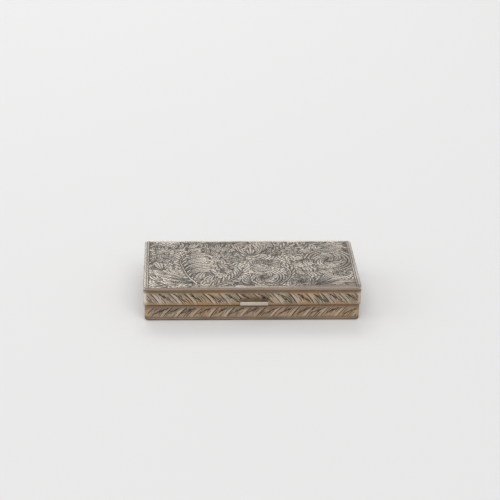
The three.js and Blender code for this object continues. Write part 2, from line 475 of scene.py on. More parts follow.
class Engraving:
    """The cuts on a flat sheet, drawn leaf by leaf with each new one over the last.

    relief holds each point's height in millimetres, at most 0, tone how dark it is, from 0 to 1,
    and bare how far it shows clean metal, worn and painted highlight alike.
    """

    FLOOR = -0.18
    RING = 0.36
    RING_TONE = 0.95
    PAD = 0.6
    HATCH = 0.9

    def __init__(self, x: Array, y: Array, soft: float) -> None:
        """Makes an untouched sheet.

        Args:
            x: Places of the sheet's columns, in millimetres.
            y: Places of its rows.
            soft: Width over which an edge fades.
        """
        self.x = x
        self.y = y
        self.soft = soft
        self.across, self.up = np.meshgrid(x, y)
        self.relief, self.tone, self.bare = (np.zeros(self.across.shape) for _ in range(3))

    def edge(self, depth: Array) -> Array:
        """Says how much of a point lies inside an outline, from its depth within it."""
        return np.clip(depth / self.soft + 0.5, 0, 1)

    def near(self, line: Array, half: float) -> tuple[Window, Array, Array]:
        """Measures the part of the sheet round a line.

        Args:
            line: The line's points.
            half: Half the width of what is drawn along it.

        Returns:
            The part, each point's share along the line, and its distance, less than 0 on the right.
        """
        low, high = line.min(0) - (half + self.PAD), line.max(0) + (half + self.PAD)
        columns = slice(*np.searchsorted(self.x, (low[0], high[0])))
        rows = slice(*np.searchsorted(self.y, (low[1], high[1])))
        px, py = self.across[rows, columns], self.up[rows, columns]
        steps = np.diff(line, axis=0)
        lengths = np.hypot(steps[:, 0], steps[:, 1])
        starts = np.concatenate([[0], np.cumsum(lengths)])
        nearest = np.full(px.shape, np.inf)
        share, side = np.zeros(px.shape), np.zeros(px.shape)
        for first, step, length, start in zip(line, steps, lengths, starts):
            tx, ty = step / length
            dx, dy = px - first[0], py - first[1]
            reach = np.clip(dx * tx + dy * ty, 0, length)
            distance = (dx - reach * tx) ** 2 + (dy - reach * ty) ** 2
            closer = distance < nearest
            nearest = np.where(closer, distance, nearest)
            share = np.where(closer, (start + reach) / starts[-1], share)
            side = np.where(closer, tx * dy - ty * dx, side)
        return (rows, columns), share, np.where(side < 0, -1, 1) * np.sqrt(nearest)

    def lay(self, part: Window, depth: Array, tone: Array, relief: Array) -> None:
        """Lays one form over what is there, with a cut round it.

        Args:
            part: The part of the sheet.
            depth: Each point's depth within the form's outline.
            tone: The form's tone.
            relief: The form's height.
        """
        cover = self.edge(depth)
        ring = self.edge(depth + self.RING) * (1 - cover)
        under = self.relief[part] * (1 - ring) + self.FLOOR * ring
        dark = np.maximum(self.tone[part], self.RING_TONE * ring)
        self.tone[part] = dark * (1 - cover) + tone * cover
        self.relief[part] = under * (1 - cover) + relief * cover

    def darken(self, part: Window, dark: Array) -> None:
        """Makes a part at least as dark as it is told."""
        self.tone[part] = np.maximum(self.tone[part], dark)

    def ground(self) -> None:
        """Cuts the whole sheet back in close slanting lines."""
        self.tone[:] = 0.6 + 0.2 * hatched(self.across + self.up, self.HATCH)
        self.relief[:] = -0.15

    def petal(self, root: Array, heading: float, length: float, half: float, bend: float) -> None:
        """Cuts one pointed lobe.

        Args:
            root: Where it starts.
            heading: The way it starts, in radians.
            length: Its length.
            half: Half of its width.
            bend: How far it turns along its length, in radians, and again near its tip.
        """
        count = 10
        t = (np.arange(count) + 0.5) / count
        steps = around(heading + bend * t + bend * t * t) * length / count
        line = np.vstack([root, root + np.cumsum(steps, axis=0)])
        part, share, offset = self.near(line, half)
        away = np.abs(offset)
        width = half * np.sin(np.pi * np.clip(share, 0.01, 0.985) ** 1.5) ** 0.55
        side = np.clip(away / (width + 1e-6), 0, 1)
        tone = 0.85 * fade(share, 0.5, 1) + 0.3 * side**4
        crown = np.sqrt(1 - side**2) * (0.4 + 0.6 * share)
        self.lay(part, width - away, tone, -0.1 + 0.08 * crown)

    def stem(self, line: Array, start: float, end: float) -> None:
        """Cuts a round stem along a line.

        Args:
            line: The line's points.
            start: Half of its width where it starts.
            end: Half of its width where it ends.
        """
        part, share, offset = self.near(line, max(start, end))
        away = np.abs(offset)
        width = start + (end - start) * share
        crown = np.sqrt(np.clip(1 - (away / width) ** 2, 0, 1))
        self.lay(part, width - away, 0.25 * (offset < 0), -0.1 + 0.1 * crown)

    def shade(self, line: Array, half: float, dark: float) -> None:
        """Darkens the metal softly along a line.

        Args:
            line: The line's points.
            half: Half of the dark strip's width.
            dark: How dark its middle is.
        """
        part, along, offset = self.near(line, half)
        width = half * np.clip(4 * np.minimum(along, 1 - along), 0.1, 1)
        self.darken(part, dark * np.clip(1.4 - 1.4 * np.abs(offset) / width, 0, 1))

    def stroke(self, line: Array, half: float, dark: float, taper: float = 1.4) -> None:
        """Cuts a groove along a line, which widens fast and tapers slowly.

        Args:
            line: The line's points.
            half: Half of its greatest width.
            dark: How dark it is.
            taper: How late it starts to taper.
        """
        part, along, offset = self.near(line, half)
        width = half * np.clip(np.minimum(6 * along, taper * (1 - along)), 0.1, 1)
        cut = self.edge(width - np.abs(offset))
        self.darken(part, dark * cut)
        self.relief[part] = np.minimum(self.relief[part], self.FLOOR * cut)

    def rub_and_highlight(self, line: Array, half: float, share: float) -> None:
        """Paints clean metal along a line, worn and painted highlight alike.

        Args:
            line: The line's points.
            half: Half of the rubbed strip's width.
            share: How clean the metal is.
        """
        part, along, offset = self.near(line, half)
        strip = self.edge(half * np.sin(np.pi * along) - np.abs(offset))
        self.bare[part] = np.maximum(self.bare[part], share * strip)
        self.tone[part] *= 1 - share * strip

    def plume(self, through: Sequence[Point], half: float, strands: int, shade: float) -> None:
        """Cuts a flowing plume: strands that part from one root and end in a stepped tip.

        Args:
            through: Points that its middle goes through, from its root.
            half: Half of its greatest width.
            strands: Number of strands.
            shade: How dark its root is.
        """
        line = smooth_line(through, 6)
        part, share, offset = self.near(line, half)
        length = np.hypot(*np.diff(line, axis=0).T).sum()
        width = half * (0.15 + 0.85 * np.sin(np.pi / 2 * np.clip(share / 0.75, 0, 1)))
        across = (offset / width + 1) / 2 * strands
        strand = np.clip(np.floor(across), 0, strands - 1)
        out = np.abs((strand + 0.5) * 2 / strands - 1)
        within = np.abs(2 * (across - strand) - 1)
        end = 1 - 0.4 * out**1.5 - 0.12 * within**2
        depth = np.minimum(width - np.abs(offset), (end - share) * length)
        groove = (1 - within) * width / strands
        tone = np.maximum(shade * fade(share, 0.7, 1) ** 1.3, 0.95 * self.edge(0.17 - groove))
        crown = np.sqrt(np.clip(1 - within**2, 0, 1)) * (0.5 + 0.5 * share)
        self.lay(part, depth, tone, -0.13 + 0.12 * crown)

    def eye(self, middle: Point, radius: Point, leaves: int = 7) -> None:
        """Cuts an oval eye: a hatched middle with a wreath of small plumes round it.

        Args:
            middle: The eye's middle.
            radius: Half of its width and of its height.
            leaves: Number of plumes.
        """
        out_x, out_y = (self.across - middle[0]) / radius[0], (self.up - middle[1]) / radius[1]
        cover = self.edge((1 - np.hypot(out_x, out_y)) * min(radius))
        self.tone += (0.3 + 0.4 * hatched(self.across, self.HATCH) - self.tone) * cover
        self.relief += (-0.14 - self.relief) * cover
        for number in range(leaves):
            turns = 2 * math.pi * (number + 0.3) / leaves + np.array([0, 0.55, 1.1])
            path = around(turns) * radius * np.array([[0.8], [0.95], [1.25]])
            self.plume(middle + path, 0.42 * min(radius), 2, 0.7)

    def branch(
        self, through: Sequence[Point], reach: Point, lean: float, bend: float, gap: float
    ) -> None:
        """Cuts a long leaf: a midrib with a row of curved barbs down each side.

        Args:
            through: Points that its midrib goes through, from its root.
            reach: The length of the longest barbs on its left and on its right.
            lean: Angle of the barbs from the midrib.
            bend: How far a barb turns along its length, less than 0 for towards the midrib.
            gap: Distance from one barb to the next.
        """
        line = smooth_line(through)
        arc = np.concatenate([[0], np.cumsum(np.hypot(*np.diff(line, axis=0).T))])
        pitch = gap / math.sin(lean)
        for along in np.arange(arc[-1] - 0.4, 0.3, -pitch / 2):
            side = 1 if round(along / pitch * 2) % 2 else -1
            number = int(np.clip(np.searchsorted(arc, along), 1, len(line) - 1))
            way = line[number] - line[number - 1]
            swell = math.sin(math.pi * (1 - along / arc[-1]) ** 0.8) ** 0.8
            length = reach[0 if side > 0 else 1] * (0.45 + 0.55 * swell)
            heading = math.atan2(way[1], way[0]) + side * lean
            self.petal(line[number], heading, length, 0.42 * gap, side * bend)
        self.stem(line, 0.4, 0.18)

    def scroll(
        self, middle: Point, radius: float, first: float, last: float, rings: int = 3
    ) -> None:
        """Cuts a round scroll: a fan of plumes inside nested arcs.

        Args:
            middle: The scroll's middle.
            radius: Its radius.
            first: The angle at which its arcs start, in degrees.
            last: The angle at which they end.
            rings: Number of arcs.
        """
        step, lobes = 0.15, 6
        arc = around(np.radians(np.linspace(first, last, 40)))
        for number in range(rings):
            ring = middle + (1 - step * number) * radius * arc
            self.stem(ring, 0.05 * radius, 0.035 * radius)
        inner = (1 - step * rings) * radius
        away = inner * np.array([[0.15], [0.6], [0.9], [1.0]])
        for number in range(lobes):
            angle = math.radians(last) + 2 * math.pi * number / lobes
            path = middle + away * around(angle + np.array([0, 0.5, 1.1, 1.7]))
            self.plume(path, 0.34 * inner, 3, 0.3)
        bud = np.array([[-0.3, -0.25], [0, -0.1], [0.25, 0.1], [0.35, 0.35]])
        self.plume(middle + inner * bud, 0.22 * inner, 3, 0.3)

    def clean(self, keep: Array) -> None:
        """Wipes the sheet smooth where its cuts aren't kept."""
        for layer in (self.tone, self.relief, self.bare):
            layer *= keep

    def read(self, x: Array, y: Array) -> list[Array]:
        """Reads the sheet at places between its points.

        Args:
            x: The places' columns.
            y: The places' rows.

        Returns:
            The height, the tone and the clean-metal share at each place.
        """
        column = np.clip(np.interp(x, self.x, np.arange(len(self.x))), 0, len(self.x) - 1.001)
        row = np.clip(np.interp(y, self.y, np.arange(len(self.y))), 0, len(self.y) - 1.001)
        i, j = column.astype(int), row.astype(int)
        f, g = column - i, row - j
        found = []
        for layer in (self.relief, self.tone, self.bare):
            low = layer[j, i] * (1 - f) + layer[j, i + 1] * f
            high = layer[j + 1, i] * (1 - f) + layer[j + 1, i + 1] * f
            found.append(low * (1 - g) + high * g)
        return found


@dataclass(frozen=True)
class Plan:
    """A rounded rectangle seen from above, in millimetres."""

    half_x: float
    half_y: float
    mid_y: float
    corner: float = 1.5

    @classmethod
    def of(cls, node: str) -> "Plan":
        """Reads the plan of a node of the frame.

        Args:
            node: The node's name.

        Returns:
            Its plan.
        """
        low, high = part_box(node)
        size = (high - low) / 2 / MM
        return cls(size.x, size.y, (low.y + high.y) / 2 / MM)

    @property
    def straight_x(self) -> float:
        """Half the straight part of the front."""
        return self.half_x - self.corner

    @property
    def straight_y(self) -> float:
        """Half the straight part of an end."""
        return self.half_y - self.corner

    @property
    def arc(self) -> float:
        """The way round a corner."""
        return math.pi * self.corner / 2

    @property
    def length(self) -> float:
        """The way round the outline."""
        return 4 * (self.straight_x + self.straight_y) + 2 * math.pi * self.corner

    @property
    def corners(self) -> list[float]:
        """Finds the middles of the corners.

        Returns:
            The way round to each, from the middle of the back.
        """
        first = self.straight_x + self.arc / 2
        second = first + self.arc + 2 * self.straight_y
        return [first, second, self.length - second, self.length - first]

    def walk(self, way: Array) -> tuple[Array, Array]:
        """Walks round the outline, from the middle of the back, by the left end and the front.

        Args:
            way: Distances along the outline.

        Returns:
            The points reached, and the outward direction at each.
        """
        arc, a, b = self.arc, self.straight_x, self.straight_y
        marks = np.cumsum([0, a, arc, 2 * b, arc, 2 * a, arc, 2 * b, arc, a])
        turns = np.array([0, 0, 1, 1, 2, 2, 3, 3, 4, 4]) * math.pi / 2
        outward = around(math.pi / 2 + np.interp(way, marks, turns))
        middle_x = np.interp(way, marks, [0, -a, -a, -a, -a, a, a, a, a, 0])
        middle_y = np.interp(way, marks, [b, b, b, -b, -b, -b, -b, b, b, b]) + self.mid_y
        return np.stack([middle_x, middle_y], -1) + self.corner * outward, outward


@dataclass
class Part:
    """A piece that stands for a node of the frame. Sizes in millimetres."""

    name: str
    node: str
    body: str
    slot: str

    def fit(self, piece: Piece) -> Piece:
        """Fits a piece to its body, in place of its node.

        Args:
            piece: The object.

        Returns:
            The object.
        """
        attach(piece, self.body)
        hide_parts(self.node)
        return piece


@dataclass
class EngravedPlate(Part):
    """A plate of sheet metal with a rounded edge, engraved if its show face looks up.

    The rim shade is painted shade on the front rim. The margin tint and stain say how dark and
    how warm the front margin and one front corner are. The under-rim shade is painted shade on
    the rounded edge of a plate that faces down, and the end highlight a painted highlight of clean
    metal along the ends.
    """

    facing: Facing
    rounding: float
    groove: float = 0.2
    spacing: float = 0.2
    end_highlight: float = 0.6
    end_margin: float = 2.05
    end_lines: tuple[Point, ...] = ((1.15, 0.12), (1.9, 0.14))
    line_depth: float = 0.1
    back_margin: float = 0.9
    front_margin: Point = (0.0, 2.2)
    rim_shade: float = 0.4
    margin_tint: Point = (0.42, 0.5)
    stain: Point = (0.15, 0.8)
    stain_place: Point = (39.5, -18.5)
    stain_size: float = 3.5
    under_rim_shade: float = 0.5
    seed: int = 5
    cell: Point = (3.2, 2.5)
    stride: float = 2.0
    curl: float = 0.22
    plan: Plan = field(init=False)

    # The middle, the size and the turn of each eddy that the ground's plumes run round.
    EDDIES = np.array(
        [
            (32, 3, 11, 1),
            (6, -12, 9, -1),
            (1, 13, 9, 1),
            (-28, -2, 11, -1),
            (-34, 13, 7, 1),
            (-9, 3, 6, 1),
            (18, -15, 6, -1),
            (20, 16, 7, -1),
        ]
    )

    def __post_init__(self) -> None:
        """Reads the plate's place from the frame."""
        self.plan = Plan.of(self.node)

    def axis(self, half: float) -> Array:
        """Places the sheet's points along one axis, closer together over the rounded edge.

        Args:
            half: Half of the plate's size along the axis.

        Returns:
            The places, from -half to half.
        """
        edge = half - self.rounding * (1 - np.cos(np.radians((0, 30, 60))))
        inner = half - self.rounding
        count = round(2 * inner / self.spacing)
        return np.concatenate([-edge, np.linspace(-inner, inner, count + 1), edge[::-1]])

    def flow(self, spot: Array) -> float:
        """Finds the way that the ground's plumes run at a place.

        Args:
            spot: The place.

        Returns:
            The heading, in radians.
        """
        away = spot - self.EDDIES[:, :2]
        size, turn = self.EDDIES[:, 2], self.EDDIES[:, 3]
        pull = turn / size * np.exp(-(away**2).sum(1) / (1.6 * size**2))
        return math.atan2(0.7 * (away[:, 0] * pull).sum(), -(away[:, 1] * pull).sum())

    def draw_ground(self, sheet: Engraving) -> None:
        """Draws plumes all over, each a little off its place in a grid.

        Args:
            sheet: The sheet to engrave.
        """
        chance = np.random.default_rng(self.seed)
        sheet.ground()
        columns, rows = np.arange(-41, 41.5, self.cell[0]), np.arange(-21, 21.5, self.cell[1])
        cells = [(x, y) for y in rows for x in columns]
        for number, cell in enumerate(chance.permutation(cells)):
            spot = cell + chance.uniform(-1.0, 1.0, 2)
            turn = 1 if number % 2 else -1
            path, bend = [spot], 0.0
            for step in range(4):
                heading = self.flow(spot)
                bend += turn * self.curl * step
                spot = spot + self.stride * around(heading + bend)
                path.append(spot)
            sheet.plume(path, 1.1 + abs(math.cos(heading)), 3, 0.12)

    def draw(self, sheet: Engraving) -> None:
        """Draws the large acanthus plumes, branches, scrolls and hatched eyes over the ground.

        Args:
            sheet: The sheet to engrave.
        """
        plume, branch = sheet.plume, sheet.branch
        # Fans of plumes in both front corners and at the right of the back.
        for reach, drop in ((0, 0), (3.4, 3.2), (6.4, 7.0)):
            tip = (-38 + reach, -8.6 + drop)
            fan = [(-22, -17), (-26, -14.6 + 0.5 * drop), (-31, -12.4 + 0.9 * drop), tip]
            plume(fan, 2.4, 3, 1)
        plume([(24, -19), (29, -17.4), (34, -16), (39.5, -15.4)], 2.0, 3, 0.9)
        plume([(24.6, -18.6), (29, -15.6), (33, -12.8), (38, -11.6)], 2.2, 3, 1)
        plume([(25, -18.2), (28, -13.6), (31, -9.6), (35, -7.4)], 2.0, 4, 0.9)
        for line in (
            [(-22, -15.4), (-28, -13.2), (-34, -10.8), (-39, -7.4)],
            [(-22, -17.4), (-28, -16.6), (-34, -15), (-38, -13.4)],
            [(24, -18), (29.4, -16.2), (35, -14), (39, -13.4)],
        ):
            sheet.stroke(smooth_line(line, 6), 0.4, 0.85)
        plume([(27, 17.6), (31, 17), (35, 17.6), (39, 19.4)], 2.0, 3, 0.5)
        plume([(29, 13.4), (33, 14.6), (37, 15.6), (40.4, 14)], 1.9, 3, 0.5)
        # Scrolls at the right, and the two branches that meet in the middle.
        sheet.scroll((31.6, 3.4), 9.6, 170, -80)
        sheet.scroll((19.4, -15.4), 4.6, 200, -40, 2)
        sheet.scroll((4.8, -11.8), 7.8, 120, -60)
        branch([(11, -18), (14.6, -12), (15.2, -6), (12.6, -0.6)], (4.0, 5.0), 0.5, -0.3, 1.1)
        middle = [(-16.5, -20.4), (-12.5, -17.6), (-8.5, -14.7), (-5.5, -11.2), (-3.6, -6.6)]
        branch(middle, (7.0, 4.6), 0.5, 0.3, 1.1)
        # The palmette at the back, with a branch beside it.
        for side in (-1, 1):
            for reach, lift in ((9.4, 3.2), (7.4, 2.2), (5.2, 1.2)):
                out = 0.6 + side * reach * np.array([0, 0.42, 0.66, 0.3])
                plume(np.stack([out, (7.4, 8.4 + lift, 8 + reach, 9 + reach)], 1), 1.5, 3, 0.6)
        plume([(0.6, 7.6), (0.6, 10.4), (0.6, 14.6)], 1.9, 3, 0.5)
        branch([(8.4, 8.4), (12, 12.4), (17.4, 18.4)], (4.8, 3.6), 0.5, 0.2, 1.1)
        # The branch with hooked plumes at the left.
        hook = [(-24.4, -12.4), (-23.6, -8.4), (-20.4, -5.4), (-15.6, -5.0), (-13.6, -7.4)]
        shift = np.stack([(-0.8, -0.9, -0.6, -0.4, -0.4), np.full(5, 4.2)], 1)
        for number in range(4):
            plume(hook + shift * number, 2.2, 3, 1)
        left = [(-21.4, -17.4), (-24.3, -11.9), (-25.8, -7.2), (-27, -1.9), (-27.6, 2.6), (-26, 7)]
        branch(left, (4.6, 4.8), 0.35, 0.45, 0.95)
        for middle, radius in (
            ((-5.2, 3.6), (4.2, 2.0)),
            ((4.6, 1.9), (3.4, 1.7)),
            ((-35, 7.4), (3.6, 2.2)),
            ((17, 10.5), (3.6, 2.4)),
            ((35.4, -8.6), (2.8, 1.7)),
        ):
            sheet.eye(middle, radius)

    def wear(self, sheet: Engraving, end: Array, drop: Array) -> dict[str, Array]:
        """Ages the metal and paints shade and highlights on its edges, after the pattern is trimmed
        and the lines are cut along the ends.

        Args:
            sheet: The plate's sheet.
            end: Each point's distance from the nearer end.
            drop: How far each point lies below the face.

        Returns:
            The attributes for the finish, by name.
        """
        plan = self.plan
        rim = np.clip(2.5 * drop / self.rounding, 0, 1)
        if self.facing is Facing.DOWN:
            # Painted shade on the rounded edge of a plate that faces down.
            return {"tone": self.under_rim_shade * rim}
        margin = np.interp(sheet.across, sheet.x[[0, -1]], self.front_margin)
        front = plan.half_y + sheet.up - margin
        back = plan.half_y - sheet.up - self.back_margin
        sheet.clean(sheet.edge(np.minimum(end - self.end_margin, np.minimum(front, back))))
        flat = plan.half_y - np.abs(sheet.up) > self.rounding
        for distance, half in self.end_lines:
            cut = sheet.edge(half - np.abs(np.where(flat, end - distance, plan.half_x)))
            sheet.tone = np.maximum(sheet.tone, cut)
            sheet.relief -= self.line_depth * cut
        front_rim = np.where(sheet.up < 0, drop / self.rounding, 0)
        rightward = sheet.across / plan.half_x
        # Painted shade: the front rim is darkened where its round would shine, more at the left.
        rim_shaded = (1 - 0.4 * rightward) * np.sin(np.pi * front_rim**0.6)
        # The plain front margin is darker and warmer towards the right.
        margin_tint = np.clip(2 * rightward + 0.1, 0, 1) * sheet.edge(-front) * (front_rim == 0)
        away = np.hypot(sheet.across - self.stain_place[0], sheet.up - self.stain_place[1])
        stain = np.exp(-((away / self.stain_size) ** 2))
        darks = (self.rim_shade * rim_shaded, self.margin_tint[0] * margin_tint, self.stain[0] * stain)
        # The rounded edge turns warm: partly its worn colour, partly painted shade that dulls its
        # highlight.
        turns = (np.where(end > self.rounding, rim, 0), self.margin_tint[1] * margin_tint, self.stain[1] * stain)
        # The ends show clean metal: a painted highlight.
        return {
            "tone": np.maximum.reduce([sheet.tone, *darks]),
            "warm": np.maximum.reduce(turns),
            "bare": self.end_highlight * fade(end, 0.5, 1.4),
        }

    def build(self, finishes: Finishes) -> Piece:
        """Models the plate.

        Args:
            finishes: The finishes of the case.

        Returns:
            The plate's object.
        """
        plan, up = self.plan, self.facing.value
        low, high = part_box(self.node)
        wall, face = (low.z / MM, high.z / MM)[::up]
        x, y = self.axis(plan.half_x), self.axis(plan.half_y)
        sheet = Engraving(x, y, self.spacing)
        end = plan.half_x - np.abs(sheet.across)
        inset = np.minimum(end, plan.half_y - np.abs(sheet.up))
        within = np.clip(self.rounding - inset, 0, None)
        drop = self.rounding - np.sqrt(np.clip(self.rounding**2 - within**2, 0, None))
        if self.facing is Facing.UP:
            self.draw_ground(sheet)
            self.draw(sheet)
        layers = self.wear(sheet, end, drop)
        points = np.stack([*self.rounded_corners(sheet), face + up * (sheet.relief - drop)], -1)
        piece, _ = Bench.sheet(self.name, points, layers)
        self.close(piece, face - up * self.rounding, wall)
        show = finishes.silver if self.facing is Facing.UP else finishes.gilt
        Bench.dress(piece, show, finishes.inside)
        back = [int(len(side.vertices) > 4) for side in piece.data.polygons]
        piece.data.polygons.foreach_set("material_index", back)
        Bench.smooth(piece, 50)
        return self.fit(piece)

    def rounded_corners(self, sheet: Engraving) -> tuple[Array, Array]:
        """Draws the sheet's square corners in to the plan's round ones.

        Args:
            sheet: The sheet.

        Returns:
            The points' places along X and along Y.
        """
        plan = self.plan
        out_x = np.clip(np.abs(sheet.across) - plan.straight_x, 0, None)
        out_y = np.clip(np.abs(sheet.up) - plan.straight_y, 0, None)
        reach = np.hypot(out_x, out_y)
        scale = np.where(reach > 0, np.maximum(out_x, out_y) / np.where(reach > 0, reach, 1), 1)
        x = np.minimum(np.abs(sheet.across), plan.straight_x) + out_x * scale
        y = np.minimum(np.abs(sheet.up), plan.straight_y) + out_y * scale
        return np.sign(sheet.across) * x, np.sign(sheet.up) * y + plan.mid_y

    def close(self, piece: Piece, edge: float, wall: float) -> None:
        """Extrudes the sheet's rim to the wall and closes the back.

        Args:
            piece: The sheet's object.
            edge: Height at which the rounded edge ends.
            wall: Height of the face that lies on the wall.
        """
        plan = self.plan
        step = self.facing.value * self.groove
        Bench.edit(piece, "EDGE")
        bpy.ops.mesh.select_non_manifold()
        for rise in (wall + step - edge, -step):
            bpy.ops.mesh.extrude_region_move(TRANSFORM_OT_translate={"value": (0, 0, rise * MM)})
        bpy.ops.transform.resize(
            value=(1 - self.groove / plan.half_x, 1 - self.groove / plan.half_y, 1),
            center_override=(0, plan.mid_y * MM, 0),
        )
        bpy.ops.mesh.edge_face_add()
        Bench.face_out()


@dataclass
class LeafBand(Part):
    """A wall of sheet metal bent round the case, with a band of slanting leaves.

    The seam shade, the near-seam shade and the plate shade say how dark the painted shade on the
    wall is right at the seam, near it and under the plate, and shade how dark the painted shadow on
    the base is under the thumbpiece. The corner shares say how far each corner shows clean metal,
    worn and painted highlight alike, and rub_warm and rub_bare how far clean metal on the base has
    turned, and is still clean.
    """

    seam: float
    band: Point
    pitch: float
    run: float = 4.3
    root: Point = (3.0, 0.1)
    hollow: Point = (5.4, 0.74)
    shadow: float = 0.1
    border: Point = (0.16, 0.45)
    depth: float = 1.5
    clean: Point = (0.12, 0.42)
    corner_wear_and_highlight: tuple[float, ...] = (0.5, 0.9, 0.35, 0.5)
    rub_warm: float = 0.9
    rub_bare: float = 0.5
    seam_shade: float = 0.85
    seam_shade_height: float = 0.25
    near_seam_shade: float = 0.3
    near_seam_shade_height: float = 1.2
    plate_shade: float = 0.35
    plate_shade_height: float = 0.8
    foot_warm: float = 0.6
    warm_height: float = 0.9
    shade: float = 1.0
    shade_height: float = 0.7
    hidden_shade: float = 0.7
    wall: float = 0.9
    groove: float = 0.2
    chamfer: float = 0.15
    gutter: float = 1.3
    spacing: float = 0.145
    plan: Plan = field(init=False)
    below: bool = field(init=False)
    plate: float = field(init=False)
    edge: float = field(init=False)

    def __post_init__(self) -> None:
        """Reads the wall's place from the frame, and whether it lies below the seam."""
        self.plan = Plan.of(self.node)
        low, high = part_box(self.node)
        self.below = self.seam > (low.z + high.z) / 2 / MM
        self.plate, self.edge = (low.z / MM, high.z / MM)[:: 1 if self.below else -1]

    def draw(self, sheet: Engraving) -> None:
        """Draws the band's leaves, which hang from its top and slant its own way.

        Args:
            sheet: The flat strip to engrave, as long as the way round the case.
        """
        low, high = self.band
        count = round(self.plan.length / self.pitch)
        chance = np.random.default_rng(count)
        slant = -1 if self.below else 1
        inside = np.clip(np.minimum(sheet.up - low, high - sheet.up) / 0.4 + 0.5, 0, 1)
        sheet.tone[:] = self.shadow * inside
        sheet.relief[:] = -0.05 * inside
        for number in range(-2, count + 2)[::slant]:
            start = self.plan.length * number / count + chance.uniform(-0.5, 0.5)
            self.leaf(sheet, start, slant, chance)
        half, dark = self.border
        sheet.tone = np.maximum(sheet.tone, dark * sheet.edge(half - np.abs(sheet.up - high)))
        sheet.relief *= self.depth
        for corner in self.plan.corners:
            sheet.clean(sheet.edge(np.abs(sheet.across - corner) - 0.6 * self.plan.corner))

    def leaf(
        self, sheet: Engraving, start: float, slant: int, chance: np.random.Generator
    ) -> None:
        """Draws one leaf: a long rib, a smooth blade beside it, a feathered side and fine lines.

        Args:
            sheet: The strip.
            start: Where the rib starts, at the top of the band.
            slant: 1 where the leaf runs down to the right, -1 to the left.
            chance: Makes each leaf a little different.
        """
        lean = np.array([self.run * chance.uniform(0.9, 1.15), 1])
        down = np.array([slant, self.band[0] - self.band[1]])

        def place(*points: Array) -> Array:
            """Draws a line through points across from the rib's start and down the band."""
            return smooth_line(np.array([start, self.band[1]]) + np.array(points) * down, 5)

        def vary(size: float) -> float:
            """Makes a size a little more or less."""
            return size * chance.uniform(0.7, 1.3)

        def groove(side: float, first: float, last: float, half: float, dark: float) -> None:
            """Cuts a groove beside the rib, from one share of its length to another."""
            near, far = (share * lean + (side, 0) for share in (first, last))
            sheet.stroke(place(near, (near + far) / 2 + (0.15, -0.03), far), half, dark, 3)

        def bright(side: float, first: float, last: float, share: float) -> None:
            """Paints a thin highlight of clean metal beside the rib, from one share of its length
            to another.
            """
            spots = (spot * lean + (side, 0) for spot in (first, (first + last) / 2, last))
            sheet.rub_and_highlight(place(*spots), 0.18, share)

        root = np.array([vary(self.root[0]), self.root[1]])
        hollow = np.array(self.hollow)
        wedge = place(root, root + 0.5 * hollow + (0.2, 0), root + hollow)
        sheet.shade(wedge, vary(0.9), vary(0.4))
        # A pale blade of clean metal beside the rib: worn crest and painted highlight.
        blade = place((1.0, 0.05), 0.5 * lean + (1.2, 0), lean + (0.9, 0))
        sheet.rub_and_highlight(blade, 0.6, chance.uniform(*self.clean))
        for side in np.arange(1.7, 6.4, 0.95):
            first = chance.uniform(0, 0.5)
            last = first + vary(0.5)
            bright(side + 0.45, first, last, chance.uniform(0.2, 0.9))
            groove(side, first, last, 0.14, vary(0.85))
        for shares, jitter, reach, bow, half in (
            ((0.2, 0.4, 0.6, 0.8), (-0.8, 0.2), 2.4, (0, -0.02), 0.16),
            ((0, 0.16, 0.32), (-0.4, 0.1), 1.5, (0.1, 0), 0.2),
        ):
            for share in shares:
                spot = root + share * hollow + (chance.uniform(*jitter), 0)
                tip = np.array([vary(reach), vary(0.22)])
                feather = place(spot, spot + 0.5 * tip + bow, spot + tip)
                sheet.stroke(feather, vary(half), 1)
        # A painted highlight along the rib's lower side.
        bright(0.45, 0.1, 1.05, chance.uniform(0.5, 1))
        groove(0, 0, 1.02, vary(0.17), 1)

    def build(self, finishes: Finishes) -> Piece:
        """Models the wall.

        Args:
            finishes: The finishes of the case.

        Returns:
            The wall's object.
        """
        plan = self.plan
        toward = 1 if self.below else -1
        columns = round(plan.length / self.spacing)
        way = np.linspace(0, plan.length, columns + 1)
        outline, outward = plan.walk(way)
        bottom, top = sorted((self.plate, self.edge))
        sheet = Engraving(way, np.arange(bottom - 0.5, top + 0.5, self.spacing), self.spacing)
        self.draw(sheet)

        thumb_low, thumb_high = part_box("thumbpiece")
        thumb_x, thumb_half = (thumb_low.x + thumb_high.x) / 2, (thumb_high.x - thumb_low.x) / 2
        beside = np.abs(outline[:, 0] - thumb_x / MM) - thumb_half / MM
        under_thumb = self.below * np.clip(0.5 - beside, 0, 1) * (outward[:, 1] < -0.9)
        pin_low, pin_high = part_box("hinge_pin")
        axis_y, axis_z = (pin_low.y + pin_high.y) / 2 / MM, (pin_low.z + pin_high.z) / 2 / MM

        # Each row of the wall: how far in it lies, its share of the way up, and whether it shows.
        count = round(abs(self.seam - self.plate) / self.spacing)
        face = [(0, share, 1) for share in np.linspace(0, 1, count + 1)]
        back = [(self.chamfer, 1, 0), (self.wall, 1, 0), (self.wall, 0, 0)]
        profile = np.array([(self.wall, 0, 0), (self.groove, 0, 0), *face, *back])
        inset, share, shown = profile.T[..., None]
        place = outline - inset[..., None] * outward
        reach = np.sqrt(np.clip(self.gutter**2 - (place[..., 1] - axis_y) ** 2, 0, None))
        lip = axis_z - toward * np.maximum(reach, abs(self.edge - axis_z))
        first = self.plate + toward * self.groove * shown
        last = lip - toward * self.chamfer * shown
        height = first + (last - first) * share
        relief, cuts, bare = sheet.read(np.broadcast_to(way, height.shape), height)
        place = place + (relief * shown)[..., None] * outward

        gap = np.abs(height - lip)
